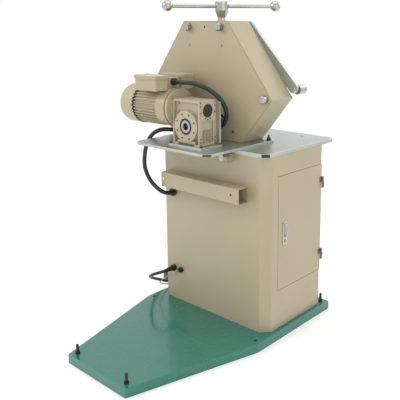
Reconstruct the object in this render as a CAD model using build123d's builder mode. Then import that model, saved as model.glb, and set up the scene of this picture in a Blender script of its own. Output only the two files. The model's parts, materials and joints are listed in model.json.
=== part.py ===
from build123d import *
import math
import os

# Motor-driven three-roll section bender on a cabinet stand. Millimetres, +Z up.
# The origin is on the floor, under the middle of the base pan. +X is the side with the cabinet door,
# -Y the side with the motor and gearbox, and +Y the working side with the three rollers.

os.makedirs("parts", exist_ok=True)

# ---------------------------------------------------------------- driving dimensions
BASE_WIDTH = 750
BASE_LENGTH = 1180
BASE_HEIGHT = 42
BASE_SHEET = 4
BASE_STRAIGHT_Y = 17            # where the straight sides end and the tongue starts to taper
TONGUE_WIDTH = 390
STUD_D = 12
STUD_POINTS = [(-168, -560), (168, -560), (-345, 560), (345, 560)]
ANCHOR_HOLE_POINTS = [(-347, 32), (347, 32)]
ANCHOR_HOLE_D = 18

CABINET_WIDTH = 704
CABINET_Y = (98, 569)
CABINET_TOP = 873
CABINET_SHEET = 3
CABINET_FACET = 41
DOOR_Y = (183, 535)
DOOR_Z = (229, 779)
DOOR_GAP = 2
HINGE_Z = (313, 685)
HINGE_LENGTH = 56

TABLE_THICK = 18
TABLE_Y = (94, 648)
TABLE_WIDTH = 700
TABLE_TOP = CABINET_TOP + TABLE_THICK

PIVOT_Y = 69                    # tilt axis of the bending head, along X
PIVOT_Z = 852
HEAD_PLATE_THICK = 12
HEAD_X = (-287, 199)
HEAD_Y = (-121, 340)
PLATE_TOP = TABLE_TOP + 0.5 + HEAD_PLATE_THICK

HOUSING_X = -103                # middle of the six-sided gear housing
HOUSING_Y = (182, 329.5)
HOUSING_TOP = 1469
HOUSING_MID = 1116
HOUSING_SHEET = 4
HALF_TOP = 147
HALF_MID = 412
HALF_BOTTOM = 236

GEAR_BODY_X = (-91, 81)         # size-75 worm reducer
GEAR_BODY_Y = (-45, 63)
FOOT_THICK = 8
OUTPUT_X = -5
OUTPUT_Z = 996
CENTRE_DISTANCE = 75
WORM_Z = OUTPUT_Z + CENTRE_DISTANCE
MOTOR_Y = 9

MOTOR_X = (-446, -108)          # stator body and fan cover
SHIELD_X = (-174, -115)         # smooth front end shield of the motor
FLANGE_R = 88
MOTOR_R = 92
RAIL_X = (-268, 244)
RAIL_Z = (656, 730)
RAIL_Y = (31, 98)

ROLLER_X = (-201, -5)           # the two lower rollers; the right one is driven directly
ROLLER_Z = 996
UPPER_Z = 1196
ROLLER_R = 78
ROLLER_Y = (372, 422)
SHAFT_R = 20
NOSE_R = 15
GEAR_MODULE = 3.5
GEAR_TEETH = 36
IDLER_TEETH = 20
GEAR_Y = (240, 268)
SCREW_Y = 304
SCREW_R = 15
RUN = 0.05                      # radial running clearance


def save(builder, label):
    """Label a finished piece and write it as its own STEP file."""
    builder.part.label = label
    export_step(builder.part, f"parts/{label}.step")


def save_group(label, *builders):
    """Write several separate solids that belong together as one STEP file."""
    group = Compound(label=label, children=[builder.part for builder in builders])
    export_step(group, f"parts/{label}.step")


def across(y):
    """Sketch plane facing +Y at the given Y; its local x is +X and its local y is -Z."""
    return Plane(origin=(0, y, 0), x_dir=(1, 0, 0), z_dir=(0, 1, 0))


def along(x):
    """Sketch plane facing +X at the given X; its local x is +Y and its local y is +Z."""
    return Plane(origin=(x, 0, 0), x_dir=(0, 1, 0), z_dir=(1, 0, 0))


def block(x, y, z):
    """A plain box from its low and high limits, added to the builder in use."""
    with Locations(((x[0] + x[1]) / 2, (y[0] + y[1]) / 2, (z[0] + z[1]) / 2)):
        Box(x[1] - x[0], y[1] - y[0], z[1] - z[0])


def cut_block(x, y, z):
    """The same box, taken away from the builder in use."""
    with Locations(((x[0] + x[1]) / 2, (y[0] + y[1]) / 2, (z[0] + z[1]) / 2)):
        Box(x[1] - x[0], y[1] - y[0], z[1] - z[0], mode=Mode.SUBTRACT)


def rod_y(x, z, y, radius, mode=Mode.ADD):
    """A round bar along Y."""
    with Locations((x, (y[0] + y[1]) / 2, z)):
        Cylinder(radius, y[1] - y[0], rotation=(90, 0, 0), mode=mode)


def rod_x(y, z, x, radius, mode=Mode.ADD):
    """A round bar along X."""
    with Locations(((x[0] + x[1]) / 2, y, z)):
        Cylinder(radius, x[1] - x[0], rotation=(0, 90, 0), mode=mode)


def rod_z(x, y, z, radius, mode=Mode.ADD):
    """A round bar along Z."""
    with Locations((x, y, (z[0] + z[1]) / 2)):
        Cylinder(radius, z[1] - z[0], mode=mode)


# ---------------------------------------------------------------- base pan
BASE_OUTLINE = [(-BASE_WIDTH / 2, BASE_LENGTH / 2), (-BASE_WIDTH / 2, BASE_STRAIGHT_Y),
                (-TONGUE_WIDTH / 2, -BASE_LENGTH / 2), (TONGUE_WIDTH / 2, -BASE_LENGTH / 2),
                (BASE_WIDTH / 2, BASE_STRAIGHT_Y), (BASE_WIDTH / 2, BASE_LENGTH / 2)]

with BuildPart() as base_pan:
    with BuildSketch():
        with BuildLine():
            Polyline(*BASE_OUTLINE, close=True)
        make_face()
    extrude(amount=BASE_HEIGHT)
    fillet(base_pan.edges().group_by(Axis.Z)[-1], radius=2.5)
    with BuildSketch():
        with BuildLine():
            Polyline(*BASE_OUTLINE, close=True)
        make_face()
        offset(amount=-BASE_SHEET, mode=Mode.REPLACE)
    extrude(amount=BASE_HEIGHT - BASE_SHEET, mode=Mode.SUBTRACT)
    block((-340, 340), (-20, 20), (0, BASE_HEIGHT - BASE_SHEET))
    cut_block((-341, 341), (-16, 16), (BASE_SHEET, BASE_HEIGHT - BASE_SHEET))
    for point in STUD_POINTS:
        rod_z(*point, (BASE_HEIGHT - 2 * BASE_SHEET, BASE_HEIGHT + 1), STUD_D / 2, Mode.SUBTRACT)
    for point in ANCHOR_HOLE_POINTS:
        rod_z(*point, (BASE_HEIGHT - 2 * BASE_SHEET, BASE_HEIGHT + 1), ANCHOR_HOLE_D / 2, Mode.SUBTRACT)
save(base_pan, "base_pan")

with BuildPart() as levelling_studs:
    for point in STUD_POINTS:
        rod_z(*point, (0, 84), STUD_D / 2)
        rod_z(*point, (0, 6), 17)

with BuildPart() as stud_nuts:
    for point in STUD_POINTS:
        with BuildSketch(Plane.XY.offset(BASE_HEIGHT)):
            with Locations(point):
                RegularPolygon(10.5, 6)
                Circle(STUD_D / 2, mode=Mode.SUBTRACT)
        extrude(amount=10)
save_group("levelling_studs", levelling_studs, stud_nuts)

# ---------------------------------------------------------------- cabinet
cab_y_mid = sum(CABINET_Y) / 2
cab_depth = CABINET_Y[1] - CABINET_Y[0]
GLANDS = {"conduit": (-250, 616), "mains": (-257, 208), "pedal": (-204, 210)}
GLAND_R = {"conduit": 11, "mains": 8, "pedal": 5}

with BuildPart() as cabinet_shell:
    block((-CABINET_WIDTH / 2, CABINET_WIDTH / 2), CABINET_Y, (BASE_HEIGHT, CABINET_TOP))
    chamfer(cabinet_shell.edges().filter_by(Axis.Z), length=CABINET_FACET)
    fillet(cabinet_shell.edges().filter_by(Axis.Z), radius=9)
    with BuildSketch(Plane.XY.offset(BASE_HEIGHT + CABINET_SHEET)):
        with Locations((0, cab_y_mid)):
            Rectangle(CABINET_WIDTH - 2 * CABINET_SHEET, cab_depth - 2 * CABINET_SHEET)
        chamfer(vertices(), length=CABINET_FACET)
    extrude(amount=CABINET_TOP - BASE_HEIGHT - 2 * CABINET_SHEET, mode=Mode.SUBTRACT)
    cut_block((CABINET_WIDTH / 2 - 20, CABINET_WIDTH / 2 + 20), DOOR_Y, DOOR_Z)
    for name, (gx, gz) in GLANDS.items():
        rod_y(gx, gz, (CABINET_Y[0] - 5, CABINET_Y[0] + 10), GLAND_R[name] + 3, Mode.SUBTRACT)
save(cabinet_shell, "cabinet_shell")

door_face = CABINET_WIDTH / 2
with BuildPart() as door:
    block((door_face - 2.5, door_face), (DOOR_Y[0] + DOOR_GAP, DOOR_Y[1] - DOOR_GAP),
          (DOOR_Z[0] + DOOR_GAP, DOOR_Z[1] - DOOR_GAP))
    block((door_face - 18, door_face), (DOOR_Y[0] + DOOR_GAP, DOOR_Y[0] + DOOR_GAP + 2.5),
          (DOOR_Z[0] + DOOR_GAP, DOOR_Z[1] - DOOR_GAP))
    block((door_face - 18, door_face), (DOOR_Y[1] - 9, DOOR_Y[1] - 6.5),
          (DOOR_Z[0] + DOOR_GAP, DOOR_Z[1] - DOOR_GAP))
    for z_low in (DOOR_Z[0] + DOOR_GAP, DOOR_Z[1] - DOOR_GAP - 2.5):
        block((door_face - 18, door_face), (DOOR_Y[0] + DOOR_GAP, DOOR_Y[1] - 6.5), (z_low, z_low + 2.5))
    cut_block((door_face - 30, door_face + 5), (215 + 4, 255 - 4), (445, 552))
save(door, "door")

# ---------------------------------------------------------------- door hinges and lock
HINGE_X = door_face + 5
HINGE_Y = DOOR_Y[1] + 1
PIN_R = 3

with BuildPart() as hinge_pins:
    for z in HINGE_Z:
        rod_z(HINGE_X, HINGE_Y, (z - HINGE_LENGTH / 2 - 2, z + HINGE_LENGTH / 2 + 2), PIN_R)


def knuckle(z, z_span, leaf_y, bore):
    """A hinge knuckle round the pin with the leaf that is screwed to one side of the joint."""
    z_low = z + z_span[0]
    z_high = z + z_span[1]
    rod_z(HINGE_X, HINGE_Y, (z_low, z_high), 5)
    block((door_face, door_face + 2), leaf_y, (z_low, z_high))
    rod_z(HINGE_X, HINGE_Y, (z_low - 1, z_high + 1), bore, Mode.SUBTRACT)


with BuildPart() as frame_hinges:
    for z in HINGE_Z:
        knuckle(z, (-HINGE_LENGTH / 2, -0.5), (HINGE_Y, HINGE_Y + 20), PIN_R)
save_group("frame_hinges", frame_hinges, hinge_pins)

with BuildPart() as door_hinges:
    for z in HINGE_Z:
        knuckle(z, (0.5, HINGE_LENGTH / 2), (HINGE_Y - 22, HINGE_Y), PIN_R + RUN)
save(door_hinges, "door_hinges")

LOCK_Y = 235
LOCK_Z = 498.5
LOCK_SPINDLE_R = 8
with BuildPart() as lock_plate:
    with BuildSketch(along(door_face)):
        with Locations((LOCK_Y, LOCK_Z)):
            SlotOverall(119, 40, rotation=90)
    extrude(amount=4)
    fillet(lock_plate.faces().sort_by(Axis.X)[-1].edges(), radius=1.5)
    with BuildSketch(along(door_face)):
        with Locations((LOCK_Y, LOCK_Z)):
            SlotOverall(104, 28, rotation=90)
    extrude(amount=-16)
    rod_x(LOCK_Y, LOCK_Z, (door_face - 20, door_face + 8), LOCK_SPINDLE_R + RUN, Mode.SUBTRACT)
save(lock_plate, "lock_plate")

with BuildPart() as lock_cam:
    rod_x(LOCK_Y, LOCK_Z, (door_face - 26, door_face + 5), LOCK_SPINDLE_R)
    block((door_face - 26, door_face - 21), (LOCK_Y - 9, LOCK_Y + 9), (LOCK_Z - 46, LOCK_Z + 8))
save(lock_cam, "lock_cam")

# ---------------------------------------------------------------- table plate
with BuildPart() as table_plate:
    block((-TABLE_WIDTH / 2, TABLE_WIDTH / 2), TABLE_Y, (CABINET_TOP, TABLE_TOP))
    chamfer(table_plate.edges().filter_by(Axis.Z), length=27)
    chamfer(table_plate.faces().sort_by(Axis.Z)[-1].edges(), length=1)
    rod_z(197, 577, (CABINET_TOP - 1, TABLE_TOP + 1), 8, Mode.SUBTRACT)
    rod_z(-197, 577, (CABINET_TOP - 1, TABLE_TOP + 1), 8, Mode.SUBTRACT)
save(table_plate, "table_plate")

# ---------------------------------------------------------------- rest rail
RAIL_WALL = 3
with BuildPart() as rest_rail:
    block(RAIL_X, RAIL_Y, RAIL_Z)
    fillet(rest_rail.edges().filter_by(Axis.X), radius=4)
    cut_block((RAIL_X[0] - 1, RAIL_X[1] + 1), (RAIL_Y[0] + RAIL_WALL, RAIL_Y[1] - RAIL_WALL),
              (RAIL_Z[0] + RAIL_WALL, RAIL_Z[1] - RAIL_WALL))
    for x in (RAIL_X[0] + 14, RAIL_X[1] - 46):
        rod_y(x, (RAIL_Z[0] + RAIL_Z[1]) / 2 + 4, (RAIL_Y[0] - 1, RAIL_Y[0] + 5), 5.5, Mode.SUBTRACT)
save(rest_rail, "rest_rail")

# ---------------------------------------------------------------- cable glands
with BuildPart() as cable_glands:
    for name, (gx, gz) in GLANDS.items():
        bore = GLAND_R[name]
        front = CABINET_Y[0]
        rod_y(gx, gz, (front - 8, front), bore + 8)
        rod_y(gx, gz, (front - 24, front + 8), bore + 3)
        rod_y(gx, gz, (front + 8, front + 16), bore + 7)
        rod_y(gx, gz, (front - 30, front + 20), bore, Mode.SUBTRACT)

with BuildPart() as control_box:
    block((-CABINET_WIDTH / 2 + CABINET_SHEET, -CABINET_WIDTH / 2 + 140), (230, 450), (420, 720))
    fillet(control_box.edges().filter_by(Axis.X), radius=8)
    cut_block((-CABINET_WIDTH / 2 + 8, -CABINET_WIDTH / 2 + 141), (236, 444), (426, 714))

with BuildPart() as contactor:
    block((-CABINET_WIDTH / 2 + 8, -CABINET_WIDTH / 2 + 80), (300, 345), (560, 640))
    block((-CABINET_WIDTH / 2 + 8, -CABINET_WIDTH / 2 + 60), (290, 355), (490, 560))
save_group("control_box", control_box, contactor)

# ---------------------------------------------------------------- tilt hinge of the head
TILT_PIN_R = 10
LUG_X = [(-240, -215), (130, 155)]
EAR_X = [(-214, -190), (105, 129)]

with BuildPart() as tilt_lugs:
    for low, high in LUG_X:
        with BuildSketch(along(low)):
            with BuildLine():
                Polyline((98, 834), (98, 871), (PIVOT_Y + 4, 871), (PIVOT_Y - 16, PIVOT_Z + 8),
                         (PIVOT_Y - 16, PIVOT_Z - 8), (PIVOT_Y - 6, 834), close=True)
            make_face()
        extrude(amount=high - low)
        rod_x(PIVOT_Y, PIVOT_Z, (low - 1, high + 1), TILT_PIN_R + RUN, Mode.SUBTRACT)

with BuildPart() as tilt_pins:
    for lug, ear in zip(LUG_X, EAR_X):
        low = min(lug[0], ear[0])
        high = max(lug[1], ear[1])
        rod_x(PIVOT_Y, PIVOT_Z, (low - 8, high + 8), TILT_PIN_R)
save_group("tilt_brackets", tilt_lugs, tilt_pins)

EAR_TOP = TABLE_TOP + 0.5
with BuildPart() as tilt_ears:
    for low, high in EAR_X:
        with BuildSketch(along(low)):
            with BuildLine():
                Polyline((PIVOT_Y - 14, PIVOT_Z - 14), (PIVOT_Y + 14, PIVOT_Z - 14),
                         (PIVOT_Y + 14, PIVOT_Z + 18), (TABLE_Y[0] - 3, EAR_TOP),
                         (PIVOT_Y - 40, EAR_TOP), (PIVOT_Y - 14, PIVOT_Z + 14), close=True)
            make_face()
        extrude(amount=high - low)
        rod_x(PIVOT_Y, PIVOT_Z, (low - 1, high + 1), TILT_PIN_R, Mode.SUBTRACT)
save(tilt_ears, "tilt_ears")

# ---------------------------------------------------------------- head plate
BOLT_POINTS = [(-262, 158), (181, 325)]
with BuildPart() as head_plate:
    block(HEAD_X, HEAD_Y, (EAR_TOP, PLATE_TOP))
    chamfer(head_plate.edges().filter_by(Axis.Z).group_by(Axis.Y)[0], length=27)
    chamfer(head_plate.faces().sort_by(Axis.Z)[-1].edges(), length=1)
    for point in BOLT_POINTS:
        rod_z(*point, (EAR_TOP - 1, PLATE_TOP + 1), 6.5, Mode.SUBTRACT)
save(head_plate, "head_plate")

with BuildPart() as hold_down_bolts:
    for point in BOLT_POINTS:
        rod_z(*point, (EAR_TOP + 0.5, PLATE_TOP + 26), 6)
        rod_z(*point, (PLATE_TOP, PLATE_TOP + 3), 13)
        with BuildSketch(Plane.XY.offset(PLATE_TOP + 3)):
            with Locations(point):
                RegularPolygon(10.5, 6)
        extrude(amount=10)
save(hold_down_bolts, "hold_down_bolts")

# ---------------------------------------------------------------- gearbox
BODY_Z = (PLATE_TOP + FOOT_THICK, PLATE_TOP + FOOT_THICK + 205)
COVER_R = 72
SEAL_R = 38.5
HOLLOW_R = 28
OUTPUT_BORE = 16.5              # open end of the hollow shaft
OUTPUT_BORE_LENGTH = 46
DRIVE_R = 15                    # the driven shaft's end inside the hollow shaft
WHEEL_R = 57
WORM_R = 15.5
CAP_R = 31

with BuildPart() as gearbox_plate:
    block((-112, 108), (-62, 78), (PLATE_TOP, PLATE_TOP + FOOT_THICK))
    fillet(gearbox_plate.edges().filter_by(Axis.Z), radius=6)

with BuildPart() as adapter_plate:
    block((-88, 100), (GEAR_BODY_Y[1], GEAR_BODY_Y[1] + 12), (BODY_Z[0], BODY_Z[1] - 8))
    fillet(adapter_plate.edges().filter_by(Axis.Y), radius=6)
    rod_y(OUTPUT_X, OUTPUT_Z, (GEAR_BODY_Y[1] - 1, GEAR_BODY_Y[1] + 13), 40, Mode.SUBTRACT)
save_group("gearbox_plates", gearbox_plate, adapter_plate)

with BuildPart() as gearbox_body:
    block(GEAR_BODY_X, GEAR_BODY_Y, BODY_Z)
    fillet(gearbox_body.edges().filter_by(Axis.Y), radius=5)
    cut_block((GEAR_BODY_X[0] + 9, GEAR_BODY_X[1] - 9), (GEAR_BODY_Y[0] - 1, GEAR_BODY_Y[0] + 16),
              (BODY_Z[0] + 20, BODY_Z[1] - 9))
    rod_y(OUTPUT_X, OUTPUT_Z, (GEAR_BODY_Y[0] + 8, GEAR_BODY_Y[0] + 17), COVER_R + 3)
    rod_y(OUTPUT_X, OUTPUT_Z, (GEAR_BODY_Y[0] - 1, GEAR_BODY_Y[0] + 8), COVER_R, Mode.SUBTRACT)
    for x in (GEAR_BODY_X[0] + 9, GEAR_BODY_X[1] - 29):
        cut_block((x, x + 20), (GEAR_BODY_Y[0] - 1, GEAR_BODY_Y[0] + 22), (BODY_Z[0] + 7, BODY_Z[0] + 20))
    cut_block((GEAR_BODY_X[0] + 34, GEAR_BODY_X[1] - 34), (GEAR_BODY_Y[0] - 1, GEAR_BODY_Y[0] + 14),
              (BODY_Z[0] - 1, BODY_Z[0] + 9))
    cut_block((GEAR_BODY_X[1] - 8, GEAR_BODY_X[1] + 1), (GEAR_BODY_Y[0] + 20, GEAR_BODY_Y[1] - 20),
              (BODY_Z[0] + 12, BODY_Z[0] + 112))
    for step in range(6):
        fin_y = GEAR_BODY_Y[0] + 27 + 10 * step
        block((GEAR_BODY_X[1] - 9, GEAR_BODY_X[1]), (fin_y, fin_y + 4), (BODY_Z[0] + 12, BODY_Z[0] + 70))
    rod_y(OUTPUT_X, OUTPUT_Z, (GEAR_BODY_Y[0] + 19, GEAR_BODY_Y[1] - 12), WHEEL_R + 4, Mode.SUBTRACT)
    rod_y(OUTPUT_X, OUTPUT_Z, (GEAR_BODY_Y[0] - 1, GEAR_BODY_Y[1] + 1), HOLLOW_R + 4, Mode.SUBTRACT)
    rod_x(MOTOR_Y, WORM_Z, (GEAR_BODY_X[0] - 1, GEAR_BODY_X[1] + 1), WORM_R + 4, Mode.SUBTRACT)
    rod_x(MOTOR_Y, WORM_Z, (GEAR_BODY_X[1] - 8, GEAR_BODY_X[1] + 1), CAP_R, Mode.SUBTRACT)
save(gearbox_body, "gearbox_body")

with BuildPart() as output_cover:
    rod_y(OUTPUT_X, OUTPUT_Z, (GEAR_BODY_Y[0] - 3, GEAR_BODY_Y[0] + 8), COVER_R)
    rod_y(OUTPUT_X, OUTPUT_Z, (GEAR_BODY_Y[0] - 3, GEAR_BODY_Y[0] + 2), SEAL_R, Mode.SUBTRACT)
    rod_y(OUTPUT_X, OUTPUT_Z, (GEAR_BODY_Y[0] - 4, GEAR_BODY_Y[0] + 9), HOLLOW_R + 1, Mode.SUBTRACT)
    for step in range(8):
        angle = math.radians(45 * step + 22.5)
        rod_y(OUTPUT_X + 58 * math.cos(angle), OUTPUT_Z + 58 * math.sin(angle),
              (GEAR_BODY_Y[0] - 4, GEAR_BODY_Y[0] + 4), 3.4, Mode.SUBTRACT)
save(output_cover, "output_cover")

with BuildPart() as output_seal:
    rod_y(OUTPUT_X, OUTPUT_Z, (GEAR_BODY_Y[0] - 2, GEAR_BODY_Y[0] + 2), SEAL_R)
    rod_y(OUTPUT_X, OUTPUT_Z, (GEAR_BODY_Y[0] - 4, GEAR_BODY_Y[0] + 9), HOLLOW_R + RUN, Mode.SUBTRACT)

with BuildPart() as worm_cap:
    rod_x(MOTOR_Y, WORM_Z, (GEAR_BODY_X[1] - 8, GEAR_BODY_X[1] + 1), CAP_R)
    fillet(worm_cap.faces().sort_by(Axis.X)[-1].edges(), radius=2)
save_group("gearbox_caps", output_seal, worm_cap)

with BuildPart() as hollow_shaft:
    rod_y(OUTPUT_X, OUTPUT_Z, (GEAR_BODY_Y[0] - 3, GEAR_BODY_Y[1] - 2), HOLLOW_R)
    rod_y(OUTPUT_X, OUTPUT_Z, (GEAR_BODY_Y[0] - 4, GEAR_BODY_Y[1] + 2), DRIVE_R, Mode.SUBTRACT)
    rod_y(OUTPUT_X, OUTPUT_Z, (GEAR_BODY_Y[0] - 3, GEAR_BODY_Y[0] - 3 + OUTPUT_BORE_LENGTH), OUTPUT_BORE,
          Mode.SUBTRACT)

with BuildPart() as worm_wheel:
    rod_y(OUTPUT_X, OUTPUT_Z, (MOTOR_Y - 15, MOTOR_Y + 15), WHEEL_R)
    rod_y(OUTPUT_X, OUTPUT_Z, (MOTOR_Y - 16, MOTOR_Y + 16), HOLLOW_R, Mode.SUBTRACT)
save_group("output_wheel", hollow_shaft, worm_wheel)

# ---------------------------------------------------------------- motor
ROTOR_R = 45
with BuildPart() as motor_flange:
    rod_x(MOTOR_Y, WORM_Z, (MOTOR_X[1], MOTOR_X[1] + 12), FLANGE_R)
    rod_x(MOTOR_Y, WORM_Z, (MOTOR_X[1] + 12, GEAR_BODY_X[0]), 66)
    rod_x(MOTOR_Y, WORM_Z, (MOTOR_X[1] - 1, GEAR_BODY_X[0] + 1), WORM_R + 4, Mode.SUBTRACT)

FAN_SEAM_X = MOTOR_X[0] + 109
with BuildPart() as motor_frame:
    rod_x(MOTOR_Y, WORM_Z, (FAN_SEAM_X, MOTOR_X[1]), MOTOR_R - 8)
    for step in range(36):
        angle = 10 * step
        if not 50 < angle < 130:
            with BuildSketch(along(FAN_SEAM_X)):
                with Locations((MOTOR_Y, WORM_Z)):
                    with PolarLocations(MOTOR_R - 6, 1, start_angle=angle):
                        Rectangle(14, 3.2)
            extrude(amount=SHIELD_X[0] - FAN_SEAM_X)
    rod_x(MOTOR_Y, WORM_Z, SHIELD_X, MOTOR_R - 1)
    rod_x(MOTOR_Y, WORM_Z, (FAN_SEAM_X - 1, MOTOR_X[1] - 8), ROTOR_R + 24, Mode.SUBTRACT)
    rod_x(MOTOR_Y, WORM_Z, (FAN_SEAM_X - 1, MOTOR_X[1] + 1), WORM_R + 3, Mode.SUBTRACT)

with BuildPart() as stator:
    rod_x(MOTOR_Y, WORM_Z, (FAN_SEAM_X + 40, MOTOR_X[1] - 50), ROTOR_R + 24)
    rod_x(MOTOR_Y, WORM_Z, (FAN_SEAM_X + 39, MOTOR_X[1] - 49), ROTOR_R + 1, Mode.SUBTRACT)
save_group("motor_frame", motor_frame, stator)

with BuildPart() as rear_shield:
    rod_x(MOTOR_Y, WORM_Z, (FAN_SEAM_X - 8, FAN_SEAM_X), MOTOR_R - 10)
    rod_x(MOTOR_Y, WORM_Z, (FAN_SEAM_X - 9, FAN_SEAM_X + 1), 12, Mode.SUBTRACT)
save_group("motor_shields", motor_flange, rear_shield)

FAN_R = MOTOR_R + 3
with BuildPart() as fan_cover:
    rod_x(MOTOR_Y, WORM_Z, (MOTOR_X[0], FAN_SEAM_X + 4), FAN_R)
    fillet(fan_cover.faces().sort_by(Axis.X)[0].edges(), radius=34)
    rod_x(MOTOR_Y, WORM_Z, (MOTOR_X[0] + 34, FAN_SEAM_X + 5), FAN_R - 1.5, Mode.SUBTRACT)
    rod_x(MOTOR_Y, WORM_Z, (MOTOR_X[0] + 3, MOTOR_X[0] + 35), FAN_R - 34, Mode.SUBTRACT)
    for ring, count in ((18, 6), (34, 12), (50, 18)):
        for step in range(count):
            angle = 2 * math.pi * step / count
            rod_x(MOTOR_Y + ring * math.cos(angle), WORM_Z + ring * math.sin(angle),
                  (MOTOR_X[0] - 1, MOTOR_X[0] + 5), 3.5, Mode.SUBTRACT)
save(fan_cover, "fan_cover")

with BuildPart() as rotor:
    rod_x(MOTOR_Y, WORM_Z, (FAN_SEAM_X + 42, MOTOR_X[1] - 52), ROTOR_R)
    rod_x(MOTOR_Y, WORM_Z, (FAN_SEAM_X - 36, GEAR_BODY_X[0] + 20), 11)

with BuildPart() as worm:
    rod_x(MOTOR_Y, WORM_Z, (GEAR_BODY_X[0] + 20, GEAR_BODY_X[1] - 12), 11)
    rod_x(MOTOR_Y, WORM_Z, (OUTPUT_X - 40, OUTPUT_X + 40), WORM_R)
save_group("rotor", rotor, worm)

with BuildPart() as cooling_fan:
    rod_x(MOTOR_Y, WORM_Z, (FAN_SEAM_X - 34, FAN_SEAM_X - 14), 22)
    for step in range(6):
        with BuildSketch(along(FAN_SEAM_X - 34)):
            with Locations((MOTOR_Y, WORM_Z)):
                with PolarLocations(42, 1, start_angle=60 * step):
                    Rectangle(44, 3)
        extrude(amount=18)
    rod_x(MOTOR_Y, WORM_Z, (FAN_SEAM_X - 50, FAN_SEAM_X), 11, Mode.SUBTRACT)
save(cooling_fan, "cooling_fan")

# ---------------------------------------------------------------- capacitor and terminal boxes
BOX_X = (-277, -130)
BOX_HALF_GAP = 44
BOX_DEPTH = 76
BOX_Z = (1152, 1206)
LID_TOP = 1221
boxes = []
lids = []
for side in (-1, 1):
    near = MOTOR_Y + side * BOX_HALF_GAP
    far = near + side * BOX_DEPTH
    y_span = (min(near, far), max(near, far))
    with BuildPart() as box:
        block(BOX_X, y_span, BOX_Z)
        fillet(box.edges().filter_by(Axis.Z), radius=6)
    boxes.append(box)
    with BuildPart() as lid:
        block((BOX_X[0] - 5, BOX_X[1] + 5), (y_span[0] - 5, y_span[1] + 5), (BOX_Z[1], LID_TOP))
        fillet(lid.edges().filter_by(Axis.Z), radius=8)
        fillet(lid.faces().sort_by(Axis.Z)[-1].edges(), radius=3)
    lids.append(lid)

with BuildPart() as box_saddle:
    block((BOX_X[0] + 14, BOX_X[1] - 14), (MOTOR_Y - BOX_HALF_GAP, MOTOR_Y + BOX_HALF_GAP), (1146, BOX_Z[1]))
    rod_x(MOTOR_Y, WORM_Z, BOX_X, MOTOR_R - 8, Mode.SUBTRACT)
    rod_x(MOTOR_Y, WORM_Z, SHIELD_X, MOTOR_R - 1, Mode.SUBTRACT)
    fillet(box_saddle.edges().filter_by(Axis.X).group_by(Axis.Z)[-1], radius=4)
save_group("terminal_boxes", *boxes, box_saddle)
save_group("box_lids", *lids)

# ---------------------------------------------------------------- six-sided gear housing
HOUSING_BOTTOM = PLATE_TOP


def hexagon(inset):
    """Corner points of the housing outline in X and -Z, moved inwards by the inset."""
    slant_in = inset * 1.25
    tip_in = inset * 1.15
    top = HOUSING_TOP - inset
    bottom = HOUSING_BOTTOM + inset
    return [(HOUSING_X - HALF_TOP + slant_in * 0.55, -top), (HOUSING_X + HALF_TOP - slant_in * 0.55, -top),
            (HOUSING_X + HALF_MID - tip_in, -HOUSING_MID),
            (HOUSING_X + HALF_BOTTOM - slant_in * 0.55, -bottom),
            (HOUSING_X - HALF_BOTTOM + slant_in * 0.55, -bottom), (HOUSING_X - HALF_MID + tip_in, -HOUSING_MID)]


COVER_THICK = 4
BAND_Y = (HOUSING_Y[0] + COVER_THICK, HOUSING_Y[1])
with BuildPart() as housing_band:
    with BuildSketch(across(BAND_Y[0])):
        with BuildLine():
            Polyline(*hexagon(0), close=True)
        make_face()
    extrude(amount=BAND_Y[1] - BAND_Y[0])
    fillet(housing_band.edges().filter_by(Axis.Y), radius=8)
    with BuildSketch(across(BAND_Y[0] - 1)):
        with BuildLine():
            Polyline(*hexagon(HOUSING_SHEET), close=True)
        make_face()
    extrude(amount=BAND_Y[1] - BAND_Y[0] + 2, mode=Mode.SUBTRACT)
    rod_z(HOUSING_X, SCREW_Y, (HOUSING_TOP - 10, HOUSING_TOP + 1), SCREW_R + RUN, Mode.SUBTRACT)
save(housing_band, "housing_band")

with BuildPart() as housing_cover:
    with BuildSketch(across(HOUSING_Y[0])):
        with BuildLine():
            Polyline(*hexagon(3), close=True)
        make_face()
    extrude(amount=COVER_THICK)
    rod_y(OUTPUT_X, OUTPUT_Z, (HOUSING_Y[0] - 1, BAND_Y[0] + 1), 34, Mode.SUBTRACT)
    rod_y(HOUSING_X - 2, 1440, (HOUSING_Y[0] - 1, BAND_Y[0] + 1), 5, Mode.SUBTRACT)
save(housing_cover, "housing_cover")

STAY_POINTS = [(HOUSING_X - 105, 1440), (HOUSING_X + 105, 1440),
               (HOUSING_X - 374, 1120), (HOUSING_X + 374, 1120)]
with BuildPart() as housing_stays:
    for x, z in STAY_POINTS:
        rod_y(x, z, (HOUSING_Y[0] - 30, HOUSING_Y[0]), 18.5)
        rod_y(x, z, (BAND_Y[0], BAND_Y[1]), 14)
    chamfer(housing_stays.edges().filter_by(GeomType.CIRCLE).group_by(Axis.Y)[0], length=4)

SCREW_POINTS = [(HOUSING_X - 107, 1354), (HOUSING_X + 107, 1354),
                (HOUSING_X - 183, 952), (HOUSING_X + 183, 952)]
with BuildPart() as cover_screws:
    for x, z in SCREW_POINTS:
        rod_y(x, z, (HOUSING_Y[0] - 4, HOUSING_Y[0]), 6)
save_group("housing_bolts", housing_stays, cover_screws)

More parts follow.
